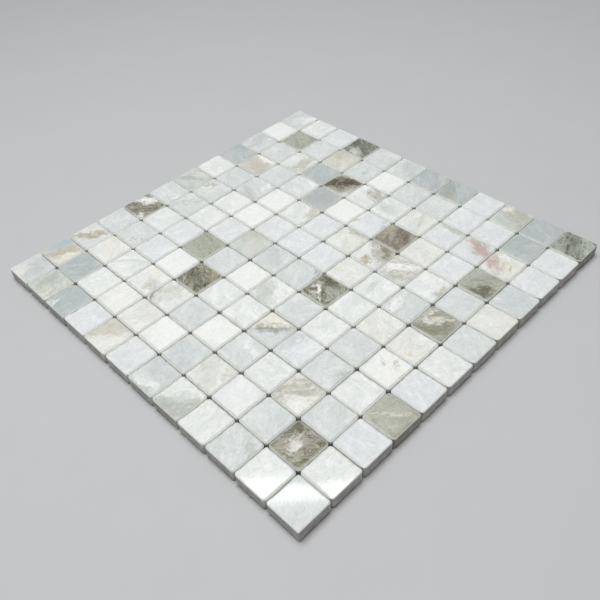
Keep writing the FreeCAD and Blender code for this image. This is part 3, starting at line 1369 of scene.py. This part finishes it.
    def build(self, yarn: bpy.types.Material) -> list[bpy.types.Object]:
        """Builds and dresses the weft and the warp.

        Args:
            yarn: The yarn's material.

        Returns:
            The two pieces.
        """
        made = []
        layers = (
            ("net_weft", self.weft(), self.weft_lines, False, "net_lower_yarns"),
            ("net_warp", self.warp(), self.warp_lines, True, "net_upper_yarns"),
        )
        for name, (points, faces), lines, turned, node in layers:
            loose, loose_faces = self.tufts(lines)
            faces = np.concatenate([faces, loose_faces + len(points)])
            points = np.concatenate([points, loose])
            lie = points / (1 * MM)
            if turned:
                points = np.stack([-points[:, 1], points[:, 0], points[:, 2]], 1)
            mesh = new_mesh(name, points, faces)
            put_attribute(mesh, "lie", lie)
            made.append(place_piece(mesh, yarn, node))
        return made


@dataclass(frozen=True)
class Lamp:
    """One soft lamp.

    Attributes:
        name: Its name.
        place: Where it hangs.
        aim: What it points at.
        size: Its width and height.
        power: Its power in watts.
    """

    name: str
    place: Place
    aim: Place
    size: tuple[float, float]
    power: float

    def hang(self) -> None:
        """Puts the lamp in the scene."""
        light = bpy.data.lights.new(self.name, "AREA")
        light.shape = "RECTANGLE"
        light.size, light.size_y = self.size
        light.energy = self.power
        lamp = bpy.data.objects.new(self.name, light)
        lamp.location = self.place
        way = Vector(self.aim) - Vector(self.place)
        lamp.rotation_euler = way.to_track_quat("-Z", "Y").to_euler()
        bpy.context.scene.collection.objects.link(lamp)


@dataclass(frozen=True)
class Studio:
    """Floor, lamps and camera.

    Attributes:
        lens: Focal length in millimetres on a sensor 36 mm wide.
        eye: Place of the camera.
        aim: What it points at.
        roll: Its turn about the line of sight, in degrees.
        floor_side: Side of the floor.
        floor_colour: Colour of the floor, as seen on a screen.
        lamps: A broad lamp overhead, and a narrow one whose image lies in the nearest tiles.
        sky: Strength of the even light from all round.
    """

    lens: float = 41.3
    eye: Place = (-0.258, -0.2845, 0.3357)
    aim: Place = (-0.0316, -0.0327, 0.010)
    roll: float = -4.3
    floor_side: float = 12.0
    floor_colour: Colour = (188, 189, 190)
    lamps: tuple[Lamp, ...] = (
        Lamp("overhead", (-0.15, 0.05, 1.5), (0, 0, 0), (0.8, 0.8), 20.7),
        Lamp("strip", (0.334, 0.408, 1.2), (-0.131, -0.136, 0.01), (0.6, 0.03), 0.8),
    )
    sky: float = 0.22

    def floor(self) -> None:
        """Lays a plain pale floor under the sheet."""
        half = self.floor_side / 2
        corners = np.array([(-half, -half, 0), (half, -half, 0), (half, half, 0), (-half, half, 0)])
        mesh = new_mesh("floor", corners, np.array([(0, 1, 2), (0, 2, 3)]))
        material, g = new_material("floor")
        tone = 0.98 + 0.04 * g.noise(g.object_place(), 30.0, 4.0)
        g.finish({"Base Color": tone * linear(self.floor_colour), "Roughness": 0.8})
        mesh.materials.append(material)
        floor = bpy.data.objects.new("floor", mesh)
        bpy.context.scene.collection.objects.link(floor)

    def sky_light(self) -> None:
        """Makes the even light from all round."""
        world = bpy.data.worlds.new("studio")
        bpy.context.scene.world = world
        world.use_nodes = True
        g = Graph(world.node_tree)
        light = g.add("ShaderNodeBackground", None, {"Color": (1, 1, 1, 1), "Strength": self.sky})
        g.add("ShaderNodeOutputWorld", None, {"Surface": light})

    def camera(self) -> None:
        """Sets the camera: it looks along its -Z, with +X to the right, and rolls about -Z."""
        data = bpy.data.cameras.new("camera")
        data.lens = self.lens
        data.sensor_width = 36.0
        data.clip_start = 0.01
        camera = bpy.data.objects.new("camera", data)
        turn = (Vector(self.aim) - Vector(self.eye)).to_track_quat("-Z", "Y").to_matrix()
        roll = Matrix.Rotation(math.radians(self.roll), 3, "Z")
        camera.matrix_world = Matrix.Translation(self.eye) @ (turn @ roll).to_4x4()
        bpy.context.scene.collection.objects.link(camera)
        bpy.context.scene.camera = camera

    def build(self) -> None:
        """Sets up the whole studio."""
        self.floor()
        for lamp in self.lamps:
            lamp.hang()
        self.sky_light()
        self.camera()
        bpy.context.scene.view_settings.view_transform = "Standard"


def main() -> None:
    """Builds the sheet and the studio."""
    Studio().build()
    marble = PolishedMarble().material()
    rows = len(LAYOUT)
    for number in range(1, rows + 1):
        line = rows - number
        stones = tuple(Stone(letter) for letter in LAYOUT[line])
        marks = tuple(MARKS.get((line, column), ()) for column in range(len(stones)))
        TileRow(number, stones, marks).build(marble)
    BackingNet().build(GlassYarn().material())


if __name__ == "__main__":
    main()
